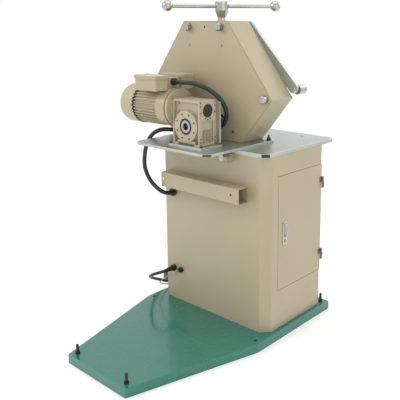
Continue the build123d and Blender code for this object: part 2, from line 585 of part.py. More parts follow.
# ---------------------------------------------------------------- front plate and bearings
PLATE_Y = (HOUSING_Y[1], HOUSING_Y[1] + 12)
SLOT_HALF = 27
SLOT_Z = (UPPER_Z - 102, UPPER_Z + 52)
BEARING_R = 34
with BuildPart() as front_plate:
    with BuildSketch(across(PLATE_Y[0])):
        with BuildLine():
            Polyline(*hexagon(2), close=True)
        make_face()
    extrude(amount=PLATE_Y[1] - PLATE_Y[0])
    cut_block((HOUSING_X - SLOT_HALF, HOUSING_X + SLOT_HALF), (PLATE_Y[0] - 1, PLATE_Y[1] + 1), SLOT_Z)
    for x in ROLLER_X:
        rod_y(x, ROLLER_Z, (PLATE_Y[0] - 1, PLATE_Y[1] + 1), BEARING_R, Mode.SUBTRACT)
save(front_plate, "front_plate")

with BuildPart() as roller_bearings:
    for x in ROLLER_X:
        rod_y(x, ROLLER_Z, (PLATE_Y[0] - 20, PLATE_Y[1] + 12), BEARING_R)
        rod_y(x, ROLLER_Z, (PLATE_Y[1], PLATE_Y[1] + 8), BEARING_R + 12)
        rod_y(x, ROLLER_Z, (PLATE_Y[0] - 30, PLATE_Y[1] + 20), SHAFT_R + RUN, Mode.SUBTRACT)

SLIDE_HALF = 45
SLIDE_Y = (280, HOUSING_Y[1] - 0.5)
with BuildPart() as slide_rails:
    for side in (-1, 1):
        inner = HOUSING_X + side * (SLIDE_HALF + 0.3)
        outer = inner + side * 16
        block((min(inner, outer), max(inner, outer)), (SLIDE_Y[0], HOUSING_Y[1]), (1080, 1440))
save_group("front_bearings", roller_bearings, slide_rails)

SLIDE_Z = (UPPER_Z - 45, UPPER_Z + 184)
SCREW_BOTTOM = UPPER_Z + 74
with BuildPart() as slide_block:
    block((HOUSING_X - SLIDE_HALF, HOUSING_X + SLIDE_HALF), SLIDE_Y, SLIDE_Z)
    block((HOUSING_X - 25, HOUSING_X + 25), (SLIDE_Y[1], PLATE_Y[1] + 12), (UPPER_Z - 26, UPPER_Z + 26))
    rod_y(HOUSING_X, UPPER_Z, (SLIDE_Y[0] - 1, PLATE_Y[1] + 13), SHAFT_R + RUN, Mode.SUBTRACT)
    rod_z(HOUSING_X, SCREW_Y, (UPPER_Z + 29, SLIDE_Z[1] + 1), SCREW_R + RUN, Mode.SUBTRACT)
save(slide_block, "slide_block")

# ---------------------------------------------------------------- rollers, shafts and gears


def roller(x, z):
    """A forming roller: a turned ring with a shallow groove round its middle."""
    rod_y(x, z, ROLLER_Y, ROLLER_R)
    with Locations((x, (ROLLER_Y[0] + ROLLER_Y[1]) / 2, z)):
        with Locations(Rotation(90, 0, 0)):
            Torus(ROLLER_R + 4, 14, mode=Mode.SUBTRACT)
    rod_y(x, z, (ROLLER_Y[0] - 1, ROLLER_Y[1] + 1), SHAFT_R, Mode.SUBTRACT)


def roller_shaft(x, z, y_start):
    """A roller shaft with a collar behind the roller and a threaded nose."""
    rod_y(x, z, (y_start, ROLLER_Y[1] + 22), SHAFT_R)
    rod_y(x, z, (ROLLER_Y[1] + 22, ROLLER_Y[1] + 40), NOSE_R)
    rod_y(x, z, (PLATE_Y[1] + 14, ROLLER_Y[0]), 30)
    chamfer(faces().sort_by(Axis.Y)[-1].edges(), length=3)


def shaft_nut(x, z):
    """The round nut that holds a roller on its shaft, with two spanner flats."""
    rod_y(x, z, (ROLLER_Y[1], ROLLER_Y[1] + 22), 34)
    chamfer(faces().sort_by(Axis.Y)[-1].edges(), length=2)
    for side in (-1, 1):
        cut_block((x + side * 34 - 5, x + side * 34 + 5), (ROLLER_Y[1] + 8, ROLLER_Y[1] + 23), (z - 40, z + 40))
    rod_y(x, z, (ROLLER_Y[1] - 1, ROLLER_Y[1] + 23), SHAFT_R, Mode.SUBTRACT)


for label, x, z in (("left", ROLLER_X[0], ROLLER_Z), ("right", ROLLER_X[1], ROLLER_Z),
                    ("upper", HOUSING_X, UPPER_Z)):
    start = {"left": BAND_Y[0] + 10, "right": BAND_Y[0] + 2, "upper": SLIDE_Y[0]}[label]
    with BuildPart() as ring:
        roller(x, z)
    save(ring, f"{label}_roller")
    with BuildPart() as shaft:
        roller_shaft(x, z, start)
        if label == "right":
            rod_y(x, z, (0, start), DRIVE_R)
    with BuildPart() as nut:
        shaft_nut(x, z)
    save_group(f"{label}_shaft", shaft, nut)


def gear(x, z, teeth, first_angle, bore):
    """A spur gear with straight-sided teeth, cut thin enough to turn freely in mesh."""
    pitch = GEAR_MODULE * teeth / 2
    root = pitch - 1.1 * GEAR_MODULE
    tip = pitch + 0.8 * GEAR_MODULE
    with BuildPart() as wheel:
        with BuildSketch(across(GEAR_Y[0])):
            with Locations((x, -z)):
                Circle(root)
                with PolarLocations(0, teeth, start_angle=first_angle):
                    Polygon((root - 2, -3.1), (pitch, -2.1), (tip, -1.0), (tip, 1.0), (pitch, 2.1),
                            (root - 2, 3.1), align=None)
                Circle(bore, mode=Mode.SUBTRACT)
        extrude(amount=GEAR_Y[1] - GEAR_Y[0])
    return wheel


save(gear(ROLLER_X[1], ROLLER_Z, GEAR_TEETH, 0, SHAFT_R), "right_gear")
save(gear(ROLLER_X[0], ROLLER_Z, GEAR_TEETH, 0, SHAFT_R), "left_gear")
save(gear(HOUSING_X, ROLLER_Z, IDLER_TEETH, 180 / IDLER_TEETH, 14 + RUN), "idler_gear")

with BuildPart() as idler_axle:
    rod_y(HOUSING_X, ROLLER_Z, (GEAR_Y[0] - 20, PLATE_Y[0]), 14)
    rod_y(HOUSING_X, ROLLER_Z, (GEAR_Y[1] + 6, PLATE_Y[0]), 24)

# ---------------------------------------------------------------- screw and handle
HANDLE_Z = 1541
HANDLE_HALF = 266
HANDLE_ANGLE = 48.6
HUB_TOP = 1563

with BuildPart() as pressure_screw:
    rod_z(HOUSING_X, SCREW_Y, (SCREW_BOTTOM, HOUSING_TOP + 60), SCREW_R)
    rod_z(HOUSING_X, SCREW_Y, (HOUSING_TOP - HOUSING_SHEET - 12, HOUSING_TOP - HOUSING_SHEET - 1), 25)
save(pressure_screw, "pressure_screw")

with BuildPart() as handle_hub:
    with BuildSketch(Plane(origin=(HOUSING_X, SCREW_Y, 0), x_dir=(1, 0, 0), z_dir=(0, -1, 0))):
        with BuildLine():
            Polyline((SCREW_R, HOUSING_TOP + 1), (21, HOUSING_TOP + 1), (20, HOUSING_TOP + 16),
                     (34, HOUSING_TOP + 50), (34, HUB_TOP - 2), (32, HUB_TOP), (0, HUB_TOP),
                     (0, HOUSING_TOP + 60), (SCREW_R, HOUSING_TOP + 60), close=True)
        make_face()
    revolve(axis=Axis((HOUSING_X, SCREW_Y, 0), (0, 0, 1)))
    with Locations(Location((HOUSING_X, SCREW_Y, HANDLE_Z), (0, 0, HANDLE_ANGLE))):
        Cylinder(10, 80, rotation=(0, 90, 0), mode=Mode.SUBTRACT)
save(handle_hub, "handle_hub")

with BuildPart() as handle_bar:
    with Locations(Location((HOUSING_X, SCREW_Y, HANDLE_Z), (0, 0, HANDLE_ANGLE))):
        Cylinder(10, 2 * HANDLE_HALF - 36, rotation=(0, 90, 0))

with BuildPart() as handle_balls:
    with Locations(Location((HOUSING_X, SCREW_Y, HANDLE_Z), (0, 0, HANDLE_ANGLE))):
        with Locations((HANDLE_HALF, 0, 0), (-HANDLE_HALF, 0, 0)):
            Sphere(27)
        Cylinder(10, 2 * HANDLE_HALF - 36, rotation=(0, 90, 0), mode=Mode.SUBTRACT)
save_group("handle_bar", handle_bar, handle_balls)

# ---------------------------------------------------------------- side guide arms
ARM_Y = (PLATE_Y[1] + 0.5, PLATE_Y[1] + 14)
ARM_TOP = (129, 1454)           # offset from the housing's middle and height
ARM_END = (418, 1153)
ARM_HALF = 24
ARM_PIVOT_R = 9

for label, side in (("left", -1), ("right", 1)):
    top_x = HOUSING_X + side * ARM_TOP[0]
    end_x = HOUSING_X + side * ARM_END[0]
    length = math.hypot(end_x - top_x, ARM_END[1] - ARM_TOP[1])
    turn = math.degrees(math.atan2(ARM_TOP[1] - ARM_END[1], end_x - top_x))
    pivot_x = top_x + 0.12 * (end_x - top_x)
    pivot_z = ARM_TOP[1] + 0.12 * (ARM_END[1] - ARM_TOP[1])
    with BuildPart() as arm:
        with BuildSketch(across(ARM_Y[0])):
            with Locations(Location(((top_x + end_x) / 2, -(ARM_TOP[1] + ARM_END[1]) / 2), turn)):
                SlotOverall(length + ARM_HALF, 2 * ARM_HALF)
        extrude(amount=ARM_Y[1] - ARM_Y[0])
        rod_y(pivot_x, pivot_z, (ARM_Y[0] - 1, ARM_Y[1] + 1), ARM_PIVOT_R + RUN, Mode.SUBTRACT)
    with BuildPart() as pin:
        rod_y(end_x, ARM_END[1], (ARM_Y[0] - 14, ARM_Y[0]), 12)
        rod_y(end_x, ARM_END[1], (ARM_Y[1], ARM_Y[1] + 70), 9)
    save_group(f"{label}_guide_arm", arm, pin)
    with BuildPart() as sleeve:
        rod_y(end_x, ARM_END[1], (ARM_Y[1] + 8, ARM_Y[1] + 58), 22)
        rod_y(end_x, ARM_END[1], (ARM_Y[1] + 7, ARM_Y[1] + 59), 9 + RUN, Mode.SUBTRACT)
    save(sleeve, f"{label}_guide_roller")

with BuildPart() as arm_pivots:
    for side in (-1, 1):
        x = HOUSING_X + side * (ARM_TOP[0] + 0.12 * (ARM_END[0] - ARM_TOP[0]))
        z = ARM_TOP[1] + 0.12 * (ARM_END[1] - ARM_TOP[1])
        rod_y(x, z, (PLATE_Y[1], ARM_Y[1] + 0.5), ARM_PIVOT_R)
        rod_y(x, z, (ARM_Y[1] + 0.5, ARM_Y[1] + 9), 15)
save_group("front_pins", arm_pivots, idler_axle)

# ---------------------------------------------------------------- foot pedal
PEDAL_X = (-545, -378)
PEDAL_Y = (495, 590)
PEDAL_PIN = (-392, 52)
with BuildPart() as pedal_base:
    block(PEDAL_X, PEDAL_Y, (0, 26))
    chamfer(pedal_base.edges().filter_by(Axis.Z), length=8)
    for y in (PEDAL_Y[0], PEDAL_Y[1] - 8):
        block((PEDAL_X[1] - 32, PEDAL_X[1] - 2), (y, y + 8), (20, 62))
        rod_y(*PEDAL_PIN, (y - 1, y + 9), 4, Mode.SUBTRACT)

with BuildPart() as pedal_pin:
    rod_y(*PEDAL_PIN, PEDAL_Y, 4)
save_group("pedal_base", pedal_base, pedal_pin)

PEDAL_RISE = 5.0
with BuildPart() as pedal_lever:
    with BuildSketch(across(PEDAL_Y[0] + 9)):
        with Locations(Location((PEDAL_PIN[0], -PEDAL_PIN[1]), PEDAL_RISE)):
            with Locations((-72, 0)):
                Rectangle(150, 6)
            Circle(8)
            Circle(4 + RUN, mode=Mode.SUBTRACT)
    extrude(amount=PEDAL_Y[1] - PEDAL_Y[0] - 18)
save(pedal_lever, "pedal_lever")

# ---------------------------------------------------------------- cables
CONDUIT_D = 21
MAINS_D = 16
PEDAL_CORD_D = 5
CONDUIT_ROUTE = [(-122, 9, 1188), (-78, 9, 1188), (-22, 32, 1187), (42, 66, 1158), (90, 98, 1108),
                 (98, 122, 1046), (62, 134, 984), (-20, 136, 948), (-110, 110, 938), (-190, 62, 946),
                 (-250, 26, 950), (-306, 12, 922), (-342, 6, 872), (-358, 2, 810), (-352, -6, 745),
                 (-312, -6, 684), (-270, 14, 640), (-251, 44, 618), (-250, 74, 616)]
MAINS_ROUTE = [(-257, 34, 208), (-266, -2, 206), (-304, -14, 190), (-352, 10, 160), (-396, 52, 126),
               (-424, 110, 92), (-432, 172, 60), (-430, 232, 32), (-419, 286, 14), (-412, 334, 9),
               (-412, 370, 9)]
PEDAL_ROUTE = [(-204, 74, 210), (-208, 54, 208), (-232, 44, 192), (-268, 44, 166), (-306, 50, 138),
               (-340, 64, 112), (-366, 92, 90), (-380, 132, 68), (-386, 184, 46), (-388, 240, 22),
               (-386, 296, 6), (-384, 352, 4), (-387, 410, 4), (-385, 456, 9), (-386, 483, 14)]


def cord_tube(route, diameter, label):
    """A cable's tube: straight runs joined by arcs as large as the runs allow."""
    points = [Vector(*point) for point in route]
    radii = []
    for before, here, after in zip(points, points[1:], points[2:]):
        turn = math.radians((here - before).get_angle(after - here))
        shorter = min((here - before).length, (after - here).length)
        radii.append(0.45 * shorter / math.tan(turn / 2))
    with BuildPart() as tube:
        with BuildLine():
            path = FilletPolyline(*points, radius=radii)
        with BuildSketch(Plane(origin=path @ 0, z_dir=path % 0)):
            Circle(diameter / 2)
        sweep()
    section = math.pi * diameter ** 2 / 4
    print(label, "radii", [round(r) for r in radii], "length", round(path.length),
          "volume ratio", round(tube.part.volume / (section * path.length), 4))
    save(tube, label)


cord_tube(CONDUIT_ROUTE, CONDUIT_D, "motor_conduit")
cord_tube(MAINS_ROUTE, MAINS_D, "mains_cord")
cord_tube(PEDAL_ROUTE, PEDAL_CORD_D, "pedal_cord")

with BuildPart() as motor_gland:
    rod_x(MOTOR_Y, CONDUIT_ROUTE[0][2], (BOX_X[1] - 14, BOX_X[1] - 4), 17)
    rod_x(MOTOR_Y, CONDUIT_ROUTE[0][2], (BOX_X[1] - 4, CONDUIT_ROUTE[0][0]), 14)
save(motor_gland, "motor_gland")

with BuildPart() as mains_relief:
    gx, gz = GLANDS["mains"]
    with BuildSketch(across(34)):
        with Locations((gx, -gz)):
            Circle(MAINS_D / 2 + 1)
    with BuildSketch(across(74)):
        with Locations((gx, -gz)):
            Circle(MAINS_D / 2 + 3.5)
    loft()
save_group("cable_glands", cable_glands, mains_relief)

COIL_CENTRE = (-500, 370)
COIL_MEAN = 88
with BuildPart() as mains_coil:
    rod_z(*COIL_CENTRE, (0.5, 34), COIL_MEAN + MAINS_D + 1)
    rod_z(*COIL_CENTRE, (0, 35), COIL_MEAN - MAINS_D - 1, Mode.SUBTRACT)
save(mains_coil, "mains_coil")

with BuildPart() as mains_plug:
    plug_y = COIL_CENTRE[1] + COIL_MEAN
    rod_x(plug_y, 22, (-652, -597), 20)
    rod_x(plug_y, 22, (-597, -577), 12)
    for dy in (-9.5, 9.5):
        rod_x(plug_y + dy, 22, (-671, -652), 2.4)
save(mains_plug, "mains_plug")
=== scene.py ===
"""Looks for the motor-driven section bender. Metres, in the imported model's own frame."""
import json
import math
import bmesh
import bpy
from mathutils import Matrix, Vector


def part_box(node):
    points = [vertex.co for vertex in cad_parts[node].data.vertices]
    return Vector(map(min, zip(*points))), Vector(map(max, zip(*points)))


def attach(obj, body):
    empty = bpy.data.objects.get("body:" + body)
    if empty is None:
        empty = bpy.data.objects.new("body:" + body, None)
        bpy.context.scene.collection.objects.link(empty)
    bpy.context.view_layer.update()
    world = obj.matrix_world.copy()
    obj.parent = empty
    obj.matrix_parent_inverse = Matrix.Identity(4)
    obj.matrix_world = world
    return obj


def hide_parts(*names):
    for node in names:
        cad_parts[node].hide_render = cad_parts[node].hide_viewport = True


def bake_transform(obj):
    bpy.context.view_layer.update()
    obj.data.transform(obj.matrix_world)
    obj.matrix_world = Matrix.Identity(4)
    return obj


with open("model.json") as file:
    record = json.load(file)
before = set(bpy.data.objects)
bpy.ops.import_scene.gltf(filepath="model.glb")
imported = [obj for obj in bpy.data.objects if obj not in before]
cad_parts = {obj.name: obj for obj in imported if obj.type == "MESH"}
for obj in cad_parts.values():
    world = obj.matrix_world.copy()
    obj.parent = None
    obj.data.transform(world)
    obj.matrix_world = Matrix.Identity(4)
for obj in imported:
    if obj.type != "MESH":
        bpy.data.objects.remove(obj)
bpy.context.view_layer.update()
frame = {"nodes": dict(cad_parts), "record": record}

# ---------------------------------------------------------------- camera
CAMERA_AT = (1.9380, -1.8998, 1.4414)
CAMERA_YAW = 41.10
CAMERA_PITCH = 10.35
CAMERA_LENS = 53.86
CAMERA_SHIFT = (-0.1, -0.16)

camera_data = bpy.data.cameras.new("camera")
camera_data.sensor_width = 36
camera_data.lens = CAMERA_LENS
camera_data.shift_x = CAMERA_SHIFT[0]
camera_data.shift_y = CAMERA_SHIFT[1]
camera_data.clip_end = 60
camera = bpy.data.objects.new("camera", camera_data)
camera.location = CAMERA_AT
camera.rotation_euler = (math.radians(90 - CAMERA_PITCH), 0, math.radians(CAMERA_YAW))
bpy.context.scene.collection.objects.link(camera)
bpy.context.scene.camera = camera

# ---------------------------------------------------------------- node helpers


def new_material(name):
    """An empty node material with its shader and links."""
    material = bpy.data.materials.new(name)
    material.use_nodes = True
    tree = material.node_tree
    shader = tree.nodes["Principled BSDF"]
    return material, tree, shader


def noise(tree, scale, detail=4.0, stretch=(1, 1, 1)):
    """Noise in object coordinates, stretched along an axis where wanted."""
    coords = tree.nodes.new("ShaderNodeTexCoord")
    mapping = tree.nodes.new("ShaderNodeMapping")
    mapping.inputs["Scale"].default_value = stretch
    texture = tree.nodes.new("ShaderNodeTexNoise")
    texture.inputs["Scale"].default_value = scale
    texture.inputs["Detail"].default_value = detail
    tree.links.new(coords.outputs["Object"], mapping.inputs["Vector"])
    tree.links.new(mapping.outputs["Vector"], texture.inputs["Vector"])
    return texture.outputs["Fac"]


def ramp(tree, value, low, high, low_at=0.3, high_at=0.7):
    """A colour ramp between two colours."""
    node = tree.nodes.new("ShaderNodeValToRGB")
    node.color_ramp.elements[0].position = low_at
    node.color_ramp.elements[0].color = (*low, 1)
    node.color_ramp.elements[1].position = high_at
    node.color_ramp.elements[1].color = (*high, 1)
    tree.links.new(value, node.inputs["Fac"])
    return node.outputs["Color"]


def span(tree, value, low, high):
    """The value, from 0.3..0.7, mapped to a range."""
    node = tree.nodes.new("ShaderNodeMapRange")
    node.inputs["From Min"].default_value = 0.3
    node.inputs["From Max"].default_value = 0.7
    node.inputs["To Min"].default_value = low
    node.inputs["To Max"].default_value = high
    tree.links.new(value, node.inputs["Value"])
    return node.outputs["Result"]


def bump(tree, shader, height, strength, distance):
    """Bump from a height value."""
    node = tree.nodes.new("ShaderNodeBump")
    node.inputs["Strength"].default_value = strength
    node.inputs["Distance"].default_value = distance
    tree.links.new(height, node.inputs["Height"])
    tree.links.new(node.outputs["Normal"], shader.inputs["Normal"])


def mix(tree, factor, first, second):
    """One colour over another by a factor."""
    node = tree.nodes.new("ShaderNodeMix")
    node.data_type = "RGBA"
    tree.links.new(factor, node.inputs[0])
    tree.links.new(first, node.inputs[6])
    tree.links.new(second, node.inputs[7])
    return node.outputs[2]


def paint(name, colour, rough, grain, coat=0.0, variation=0.05):
    """Sprayed paint: faint cloudy colour, orange-peel skin and uneven gloss."""
    material, tree, shader = new_material(name)
    dark = [c * (1 - variation) for c in colour]
    light = [min(1, c * (1 + variation)) for c in colour]
    cloud = ramp(tree, noise(tree, 3.5, 3), dark, light)
    speck = ramp(tree, noise(tree, 240, 2), [c * 0.97 for c in colour], [min(1, c * 1.02) for c in colour])
    tree.links.new(mix(tree, span(tree, noise(tree, 11, 2), 0.2, 0.8), cloud, speck),
                   shader.inputs["Base Color"])
    tree.links.new(span(tree, noise(tree, 14, 5), rough - 0.06, rough + 0.07), shader.inputs["Roughness"])
    shader.inputs["Coat Weight"].default_value = coat
    shader.inputs["Coat Roughness"].default_value = 0.12
    bump(tree, shader, noise(tree, grain, 3), 0.06, 0.0004)
    return material


def steel(name, colour, rough, stretch, metallic=1.0, streak=260, depth=0.08):
    """Bare steel with fine grinding or turning marks along one direction."""
    material, tree, shader = new_material(name)
    lines = noise(tree, streak, 6, stretch)
    stain = ramp(tree, noise(tree, 6, 5), [c * 0.84 for c in colour], [min(1, c * 1.08) for c in colour])
    grain = ramp(tree, lines, [c * 0.88 for c in colour], [min(1, c * 1.05) for c in colour])
    tree.links.new(mix(tree, span(tree, noise(tree, 23, 3), 0.25, 0.75), stain, grain),
                   shader.inputs["Base Color"])
    tree.links.new(span(tree, lines, rough - 0.07, rough + 0.1), shader.inputs["Roughness"])
    shader.inputs["Metallic"].default_value = metallic
    bump(tree, shader, lines, depth, 0.0003)
    return material


def polymer(name, colour, rough, grain, depth=0.15):
    """Moulded rubber or plastic with a fine matt skin."""
    material, tree, shader = new_material(name)
    tone = ramp(tree, noise(tree, 30, 4), [c * 0.75 for c in colour], [min(1, c * 1.35) for c in colour])
    tree.links.new(tone, shader.inputs["Base Color"])
    tree.links.new(span(tree, noise(tree, 60, 4), rough - 0.08, rough + 0.08), shader.inputs["Roughness"])
    bump(tree, shader, noise(tree, grain, 4), depth, 0.0004)
    return material


BEIGE = (0.388, 0.332, 0.216)
MATERIALS = {
    "green_paint": paint("green_paint", (0.010, 0.152, 0.112), 0.26, 90, coat=0.5),
    "beige_paint": paint("beige_paint", BEIGE, 0.42, 210, coat=0.15),
    "cast_beige": paint("cast_beige", (0.42, 0.355, 0.245), 0.46, 420, variation=0.08),
    "bright_steel": steel("bright_steel", (0.47, 0.50, 0.455), 0.36, (1, 0.03, 1), metallic=0.85),
    "machined_steel": steel("machined_steel", (0.43, 0.43, 0.42), 0.3, (1, 1, 0.2)),
    "dark_steel": steel("dark_steel", (0.075, 0.068, 0.058), 0.42, (1, 1, 0.4)),
    "chrome": steel("chrome", (0.46, 0.445, 0.41), 0.16, (1, 1, 0.3), depth=0.03),
    "black_rubber": polymer("black_rubber", (0.016, 0.015, 0.015), 0.5, 500),
    "grey_plastic": polymer("grey_plastic", (0.30, 0.31, 0.32), 0.5, 350),
    "yellow_paint": paint("yellow_paint", (0.72, 0.45, 0.05), 0.4, 220),
}
slot_of = {part["node"]: part["material_slot"] for part in frame["record"]["subparts"]}
for node, obj in frame["nodes"].items():
    obj.data.materials.clear()
    obj.data.materials.append(MATERIALS[slot_of[node]])

# ---------------------------------------------------------------- cables
CONDUIT_ROUTE = [(-122, 9, 1188), (-78, 9, 1188), (-22, 32, 1187), (42, 66, 1158), (90, 98, 1108),
                 (98, 122, 1046), (62, 134, 984), (-20, 136, 948), (-110, 110, 938), (-190, 62, 946),
                 (-250, 26, 950), (-306, 12, 922), (-342, 6, 872), (-358, 2, 810), (-352, -6, 745),
                 (-312, -6, 684), (-270, 14, 640), (-251, 44, 618), (-250, 74, 616)]
MAINS_ROUTE = [(-257, 34, 208), (-266, -2, 206), (-304, -14, 190), (-352, 10, 160), (-396, 52, 126),
               (-424, 110, 92), (-432, 172, 60), (-430, 232, 32), (-417, 286, 14), (-406, 334, 9)]
PEDAL_ROUTE = [(-204, 74, 210), (-208, 54, 208), (-232, 44, 192), (-268, 44, 166), (-306, 50, 138),
               (-340, 64, 112), (-366, 92, 90), (-380, 132, 68), (-386, 184, 46), (-388, 240, 22),
               (-386, 296, 6), (-384, 352, 4), (-387, 410, 4), (-385, 456, 9), (-386, 483, 14)]
COIL_CENTRE = (-500, 370)
COIL_TURNS = 4.25
COIL_STEPS = 14


def eased(turn, stages):
    """A value that holds between stages and moves evenly inside each (from, to, low, high) stage."""
    value = stages[0][2]
    for start, end, low, high in stages:
        if turn >= start:
            value = low + (high - low) * min(1, (turn - start) / (end - start))
    return value


def coil_points():
    """The put-away coil's turns, two beside each other and two on top."""
    points = []
    for step in range(int(COIL_TURNS * COIL_STEPS) + 1):
        turn = step / COIL_STEPS
        radius = eased(turn, [(0.7, 0.95, 97, 80), (3.0, 3.3, 80, 97)])
        height = eased(turn, [(1.4, 1.75, 8.6, 25)])
        angle = 2 * math.pi * turn
        points.append((COIL_CENTRE[0] + radius * math.cos(angle), COIL_CENTRE[1] + radius * math.sin(angle),
                       height))
    return points


def cord_curve(name, route, diameter, material):
    """A cable on one smooth spline whose control points are the route."""
    curve = bpy.data.curves.new(name, "CURVE")
    curve.dimensions = "3D"
    curve.bevel_depth = diameter / 2000
    curve.bevel_resolution = 6
    curve.resolution_u = 10
    curve.use_fill_caps = True
    spline = curve.splines.new("NURBS")
    spline.points.add(len(route) - 1)
    for point, (x, y, z) in zip(spline.points, route):
        point.co = (x / 1000, y / 1000, z / 1000, 1)
    spline.order_u = 3
    spline.use_endpoint_u = True
    obj = bpy.data.objects.new(name, curve)
    bpy.context.scene.collection.objects.link(obj)
    curve.materials.append(material)
    return obj


def ribbed_rubber():
    """Black conduit rubber with fine rings that follow its length."""
    material, tree, shader = new_material("conduit_rubber")
    tone = ramp(tree, noise(tree, 40, 4), (0.010, 0.010, 0.010), (0.028, 0.027, 0.026))
    tree.links.new(tone, shader.inputs["Base Color"])
    tree.links.new(span(tree, noise(tree, 70, 4), 0.36, 0.5), shader.inputs["Roughness"])
    bump(tree, shader, noise(tree, 520, 3), 0.2, 0.0005)
    return material


CONDUIT_RUBBER = ribbed_rubber()


def tube_and_line(curve_obj):
    """A mesh tube made from a cable's curve, and the points of its middle line."""
    name = curve_obj.name
    tube_mesh = bpy.data.meshes.new_from_object(curve_obj.evaluated_get(bpy.context.evaluated_depsgraph_get()))
    curve_obj.data.bevel_depth = 0
    bpy.context.view_layer.update()
    line_mesh = bpy.data.meshes.new_from_object(curve_obj.evaluated_get(bpy.context.evaluated_depsgraph_get()))
    line = [vertex.co.copy() for vertex in line_mesh.vertices]
    bpy.data.objects.remove(curve_obj)
    bpy.data.meshes.remove(line_mesh)
    tube = bpy.data.objects.new(name, tube_mesh)
    bpy.context.scene.collection.objects.link(tube)
    tube_mesh.shade_smooth()
    return tube, line


conduit, conduit_line = tube_and_line(cord_curve("conduit", CONDUIT_ROUTE, 21, CONDUIT_RUBBER))
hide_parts("motor_conduit")
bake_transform(conduit)

plug_end = [(-532, 466, 25), (-560, 460, 23), (-577, 458, 22)]
mains = cord_curve("mains_lead", MAINS_ROUTE + coil_points() + plug_end, 16, CONDUIT_RUBBER)
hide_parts("mains_cord", "mains_coil")
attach(mains, "stand")

pedal_lead = cord_curve("pedal_lead", PEDAL_ROUTE, 5, MATERIALS["grey_plastic"])
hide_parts("pedal_cord")
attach(pedal_lead, "stand")

# ---------------------------------------------------------------- small hardware
AXES = {"x": Vector((1, 0, 0)), "-x": Vector((-1, 0, 0)), "y": Vector((0, 1, 0)),
        "-y": Vector((0, -1, 0)), "z": Vector((0, 0, 1))}
MIL = 0.001


def piece(name, mesh_data, material, body, smooth=False):
    """A finished piece: material and riding body."""
    mesh = bpy.data.meshes.new(name)
    mesh_data.normal_update()
    mesh_data.to_mesh(mesh)
    mesh_data.free()
    mesh.materials.append(material)
    if smooth:
        mesh.shade_smooth()
        mesh.set_sharp_from_angle(angle=math.radians(32))
    obj = bpy.data.objects.new(name, mesh)
    bpy.context.scene.collection.objects.link(obj)
    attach(obj, body)
    return obj


def lathe(bm, at, axis, profile, sides=40):
    """Turn a profile of (radius, height) points, in mm, round an axis through a point in mm."""
    turn = AXES[axis].to_track_quat("Z", "Y").to_matrix()
    rings = []
    for radius, height in profile:
        ring = []
        for step in range(sides if radius > 0 else 1):
            angle = 2 * math.pi * step / sides
            local = Vector((radius * math.cos(angle), radius * math.sin(angle), height))
            ring.append(bm.verts.new((Vector(at) + turn @ local) * MIL))
        rings.append(ring)
    for low, high in zip(rings, rings[1:]):
        count = max(len(low), len(high))
        for step in range(count):
            after = (step + 1) % count
            corners = [low[step % len(low)], low[after % len(low)],
                       high[after % len(high)], high[step % len(high)]]
            unique = list(dict.fromkeys(corners))
            if len(unique) > 2:
                bm.faces.new(unique)


def socket_screws(name, points, axis, radius, height, body, material=None, sides=28):
    """Cap screws: a rounded head with a six-sided socket sunk into it."""
    bm = bmesh.new()
    for at in points:
        socket = radius * 0.52
        lathe(bm, at, axis, [(0, 0), (radius, 0), (radius, height - 0.12 * radius),
                             (radius - 0.12 * radius, height), (socket * 1.08, height)], sides)
        lathe(bm, at, axis, [(socket * 1.08, height), (socket, height - 0.08 * radius),
                             (socket, height * 0.45), (0, height * 0.45)], 6)
    return piece(name, bm, material or MATERIALS["dark_steel"], body, smooth=True)


def hex_nuts(name, points, axis, across, height, hole, body, material=None):
    """Six-sided nuts with a turned chamfer and an open middle."""
    bm = bmesh.new()
    for at in points:
        corner = across / math.sqrt(3)
        lathe(bm, at, axis, [(hole, 0), (corner * 0.95, 0), (corner, height * 0.15), (corner, height * 0.85),
                             (corner * 0.93, height), (hole * 1.1, height), (hole, height * 0.9), (hole, 0)], 6)
    return piece(name, bm, material or MATERIALS["dark_steel"], body)


def rings_profile(radius, depth, start, end, pitch):
    """A profile with even ridges, as on a thread or a grip."""
    profile = [(0, start), (radius - depth, start)]
    height = start
    while height + pitch <= end:
        profile += [(radius, height + pitch * 0.45), (radius, height + pitch * 0.55),
                    (radius - depth, height + pitch)]
        height += pitch
    return profile + [(0, height)]


def low(node):
    """A node's low corner in mm."""
    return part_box(node)[0] / MIL


def high(node):
    """A node's high corner in mm."""
    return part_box(node)[1] / MIL


# threads on the levelling studs and the hold-down bolts
bm = bmesh.new()
for x, y in ((-168, -560), (168, -560), (-345, 560), (345, 560)):
    lathe(bm, (x, y, 0), "z", rings_profile(6.5, 0.9, 52, 83.5, 1.75))
piece("stud_threads", bm, MATERIALS["dark_steel"], "stand", smooth=True)
plate_top = high("head_plate")[2]
bm = bmesh.new()
for x, y in ((-262, 158), (181, 325)):
    lathe(bm, (x, y, plate_top), "z", rings_profile(6.5, 0.9, 13, 25.5, 1.75))
piece("bolt_threads", bm, MATERIALS["machined_steel"], "head", smooth=True)

